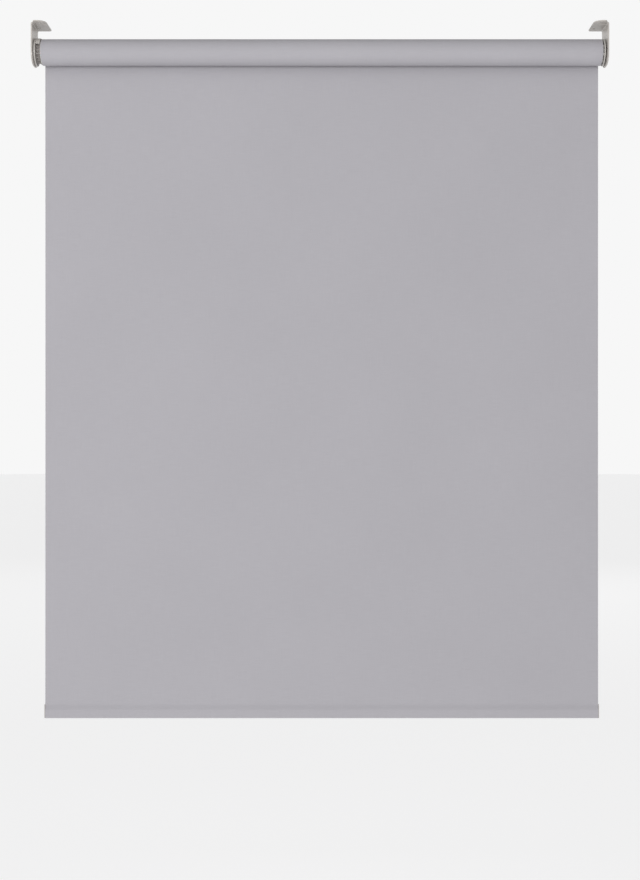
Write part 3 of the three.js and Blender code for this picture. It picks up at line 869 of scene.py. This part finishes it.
TURNS = 3.25
LAYER = 0.385 * MM  # pitch of the wound layers
WOUND_STEPS = 180  # per turn
ROLL_RADIUS = ROLL.radius()
SHEET_BOTTOM = SHEET.low.z
SHEET_LENGTH = AXIS_Z - SHEET_BOTTOM
HEM_BOTTOM = HEM.low.z
HEM_HALF = HEM.depth() / 2
SLIM = 0.95  # the visible cloth's thickness, as a share of the space that it has
BELOW_ROLL = (0, 1.5, 3, 5, 8, 12, 18, 26)  # the sheet's rows, in mm from its top and from its bottom
ABOVE_HEM = (16, 10, 7, 5.6, 4.8, 4, 3.2, 2.4, 1.2, 0)
WAVE = 0.28 * MM
CURL = 1.1 * MM  # of the sheet's side edges, towards the window
WELD_DENT = 0.09 * MM  # the line that the weld presses into the sheet
WELD_HEIGHT = 4.4 * MM
WELD_WIDTH = 0.9 * MM
FRONT_SHOULDER = 11 * MM  # height over which the hem swells out from the sheet
BACK_SHOULDER = 7.5 * MM
WELD_FLAP = 6 * MM
HEM_SLACK = 0.045  # most that the hem is pressed in between its ends, as a share of its depth
CAP_OUTER = 1.2 * MM  # past the cloth's edge
CAP_EDGE = 0.5 * MM  # half the cap's thickness at its top
CAP_SHOULDER = 6 * MM
TONGUE_LENGTH = 12 * MM
TONGUE_HALF = 1.8 * MM
TONGUE_LOW = 2.6 * MM
TONGUE_HEIGHT = 11.4 * MM


def ripple(x, y):
    """A small smooth wave between -1 and 1 with no clear period."""
    return 0.5 * math.sin(x + 1.3 * math.sin(0.7 * y)) + 0.5 * math.sin(1.83 * x + 0.9 * y + 2.1)


def wound_radius(degrees):
    """Outer radius of the wound cloth. Each turn steps down one layer in its first quarter, where
    it passes under the cloth that leaves the roll."""
    turn = math.floor(degrees / 360 + 1e-9)
    into = degrees / 360 - turn
    return ROLL_RADIUS - LAYER * (turn + smooth_step(into * 4))


def add_wound_cloth():
    """A strip that leaves the roll at the back, at the height of the axis, and winds in over the top."""
    mesh = bmesh.new()
    places = []
    columns = 24
    rows = []
    along = 0.0
    for step in range(round(TURNS * WOUND_STEPS) + 1):
        angle = 2 * math.pi * step / WOUND_STEPS
        radius = wound_radius(360 * step / WOUND_STEPS)
        slip = 0.09 * MM * ripple(angle * 0.6, 2.0)
        row = []
        for below in (0.0, SLIM * LAYER):
            line = []
            for k in range(columns + 1):
                share = k / columns
                x = CLOTH_LEFT + CLOTH_WIDTH * share + slip * (1 - 2 * share)
                swell = 0.04 * MM * ripple(x * 31, angle * 1.7) * math.sin(math.pi * share)
                here = radius - below + swell * smooth_step(step / 30)
                line.append(mesh.verts.new((x, here * math.cos(angle), AXIS_Z + here * math.sin(angle))))
                places.append((x, -along))
            row.append(line)
        rows.append(row)
        along += radius * 2 * math.pi / WOUND_STEPS
    strip(mesh, rows, places)
    return add_piece("wound_cloth", mesh, "cloth", "roller", "cloth_roll", 45), along


def sheet_rows():
    """Distances down the sheet from where it leaves the roll: closer together at its two ends."""
    rows = [down * MM for down in BELOW_ROLL]
    rows += [SHEET_LENGTH - up * MM for up in ABOVE_HEM]
    first = BELOW_ROLL[-1] * MM
    last = SHEET_LENGTH - ABOVE_HEM[0] * MM
    steps = 110
    rows += [first + (last - first) * k / steps for k in range(1, steps)]
    return sorted(rows)


def sag(x, down):
    """How far the hanging cloth stands off its plane, towards the window."""
    share = down / SHEET_LENGTH
    slack = math.sin(math.pi * min(max(share, 0), 1))
    side = 2 * (x - CLOTH_LEFT) / CLOTH_WIDTH - 1
    wave = WAVE * ripple(x * 12.5, 1.2 * share) * slack
    curl = CURL * abs(side) ** 6 * slack ** 0.6
    dent = WELD_DENT * math.exp(-((SHEET_LENGTH - down - WELD_HEIGHT) / WELD_WIDTH) ** 2)
    return wave + curl + dent


def add_hanging_cloth():
    mesh = bmesh.new()
    places = []
    columns = 110
    rows = []
    for down in sheet_rows():
        row = []
        for face in (-0.5, 0.5):
            line = []
            for k in range(columns + 1):
                x = CLOTH_LEFT + CLOTH_WIDTH * k / columns
                y = CLOTH_MIDDLE + face * CLOTH_THICKNESS * SLIM + sag(x, down)
                line.append(mesh.verts.new((x, y, AXIS_Z - down)))
                places.append((x, down))
            row.append(line)
        rows.append(row)
    strip(mesh, rows, places)
    made = add_piece("hanging_cloth", mesh, "cloth", "hem", "cloth_sheet", 45)
    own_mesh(made)
    return made


def swept(first, last, steps):
    """Points from one (depth, height) to another without the first, in an S where the depth changes."""
    points = []
    for k in range(1, steps + 1):
        share = k / steps
        depth = first[0] + (last[0] - first[0]) * smooth_step(share)
        points.append((depth, first[1] + (last[1] - first[1]) * share))
    return points


def hem_path():
    """The middle of the cloth in the hem, as (depth from the hanging cloth, height): down the front,
    round the bar, up the back and flat against the sheet, where it is welded."""
    half = HEM_HALF - CLOTH_THICKNESS / 2
    turn = HEM_BOTTOM + HEM_HALF
    top = (0, SHEET_BOTTOM)
    front = (-half, SHEET_BOTTOM - FRONT_SHOULDER)
    back = (half, SHEET_BOTTOM - BACK_SHOULDER)
    weld = (CLOTH_THICKNESS * 1.05, SHEET_BOTTOM)
    path = [top, *swept(top, front, 16), *swept(front, (-half, turn), 6)[:-1]]
    path += arc((0, turn), half, 180, 360, 24)
    path += swept((half, turn), back, 6) + swept(back, weld, 12)
    return path + swept(weld, (weld[0], SHEET_BOTTOM + WELD_FLAP), 6)


def add_hem_fold():
    mesh = bmesh.new()
    places = []
    path = [Vector(point) for point in hem_path()]
    columns = 72
    rows = []
    along = SHEET_LENGTH
    for k, point in enumerate(path):
        before = path[max(k - 1, 0)]
        after = path[min(k + 1, len(path) - 1)]
        direction = (after - before).normalized()
        normal = Vector((-direction.y, direction.x))
        along += (point - before).length
        stands_off = abs(point.x) > CLOTH_THICKNESS * 1.2
        row = []
        for side in (-0.5, 0.5):
            place = point + normal * side * CLOTH_THICKNESS * SLIM
            line = []
            for column in range(columns + 1):
                share = column / columns
                x = CLOTH_LEFT + CLOTH_WIDTH * share
                slack = HEM_SLACK * (0.5 + 0.5 * ripple(x * 38, k * 0.11))
                slack *= smooth_step(min(share, 1 - share) * 20)
                depth = place.x * (1 - slack) if stands_off else place.x
                line.append(mesh.verts.new((x, CLOTH_MIDDLE + depth, place.y)))
                places.append((x, along))
            row.append(line)
        rows.append(row)
    strip(mesh, rows, places)
    made = add_piece("hem_fold", mesh, "cloth", "hem", "hem_pocket", 45)
    return made, along - SHEET_LENGTH


def cap_outline():
    turn = HEM_BOTTOM + HEM_HALF
    top = HEM.high.z
    side = []
    steps = 10
    for k in range(steps + 1):
        share = k / steps
        half = CAP_EDGE + (HEM_HALF - CAP_EDGE) * smooth_step(share) ** 0.8
        side.append((-half, top - CAP_SHOULDER * share))
    outline = side + arc((0, turn), HEM_HALF, 180, 360, 28) + [(-u, v) for u, v in reversed(side)]
    return [(CLOTH_MIDDLE + u, v - AXIS_Z) for u, v in outline]


def tongue_outline():
    low = HEM_BOTTOM + TONGUE_LOW
    outline = arc((0, low), TONGUE_HALF, 180, 360, 12)
    outline += arc((0, low + TONGUE_HEIGHT), TONGUE_HALF, 0, 180, 12)
    return [(CLOTH_MIDDLE + u, v - AXIS_Z) for u, v in outline]


def add_hem_caps():
    made = []
    for name, node, edge, outward in (
        ("hem_end_left", "hem_cap_left", CLOTH_LEFT, -1),
        ("hem_end_right", "hem_cap_right", CLOTH_RIGHT, 1),
    ):
        near = edge + outward * GAP
        far = edge + outward * CAP_OUTER
        tip = edge - outward * TONGUE_LENGTH
        plate = stood(slab([cap_outline()], min(near, far), max(near, far), 0.3 * MM))
        tongue = stood(slab([tongue_outline()], min(near, tip), max(near, tip) + 0.05 * MM, 0))
        mesh = combined(plate, [tongue])
        made.append(add_piece(name, mesh, "control_plastic", "hem", node, 30))
    return made


wound, wound_length = add_wound_cloth()
hanging = add_hanging_cloth()
fold, fold_length = add_hem_fold()
caps = add_hem_caps()


# ---------------------------------------------------------------------------------------------
# CAD nodes that stay

def add_kept_nodes():
    """Gives each CAD node that still shows its material and smooth shading."""
    slots = {part["node"]: part["material_slot"] for part in frame["record"]["subparts"]}
    for name, node in frame["nodes"].items():
        if node.hide_render:
            continue
        shaded(node.data, 30)
        node.data.materials.clear()
        node.data.materials.append(MATERIALS[slots[name]])
        if name == "idle_spring":
            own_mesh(node)


add_kept_nodes()


# ---------------------------------------------------------------------------------------------
# Floor and light

FLOOR_Z = -1.30
FLOOR_RADIUS = 25
FLOOR_GLOW = 0.68


def add_floor():
    mesh = bmesh.new()
    bmesh.ops.create_circle(mesh, cap_ends=True, segments=96, radius=FLOOR_RADIUS)
    floor = to_object("floor", mesh)
    floor.location.z = FLOOR_Z
    made = Surface("floor", 0.9)
    patch = made.noise(made.place, 1.5, 2)
    made.shade(linear(150, 150, 151), made.spread(patch, 0.99, 1.01))
    made.shader.inputs["Emission Color"].default_value = (1, 1, 1, 1)
    made.shader.inputs["Emission Strength"].default_value = FLOOR_GLOW
    floor.data.materials.append(made.material)


def add_area_light(name, place, target, width, height, power):
    data = bpy.data.lights.new(name, "AREA")
    data.shape = "RECTANGLE"
    data.size = width
    data.size_y = height
    data.energy = power
    light = bpy.data.objects.new(name, data)
    light.visible_camera = False
    light.location = place
    light.rotation_euler = (Vector(target) - Vector(place)).to_track_quat("-Z", "Y").to_euler()
    scene.collection.objects.link(light)
    return light


def add_sky():
    """A white sky that is darker overhead."""
    world = bpy.data.worlds.new("studio")
    world.use_nodes = True
    tree = world.node_tree
    background = tree.nodes["Background"]
    background.inputs["Color"].default_value = (1, 1, 1, 1)
    place = tree.nodes.new("ShaderNodeTexCoord")
    parts = tree.nodes.new("ShaderNodeSeparateXYZ")
    fall = tree.nodes.new("ShaderNodeMapRange")
    for name, value in (("From Min", 0.3), ("From Max", 0.65), ("To Min", 0.93), ("To Max", 0.3)):
        fall.inputs[name].default_value = value
    tree.links.new(place.outputs["Generated"], parts.inputs["Vector"])
    tree.links.new(parts.outputs["Z"], fall.inputs["Value"])
    tree.links.new(fall.outputs["Result"], background.inputs["Strength"])
    scene.world = world


def add_lights():
    middle = (0, 0, -0.5)
    add_area_light("key", (-1.2, -3.5, -0.55), middle, 2.6, 0.9, 62)
    back = add_area_light("back", (0.6, 4.5, 1.2), middle, 3.0, 2.0, 26)
    back.visible_glossy = False


add_floor()
add_sky()
add_lights()
scene.view_settings.view_transform = "Standard"
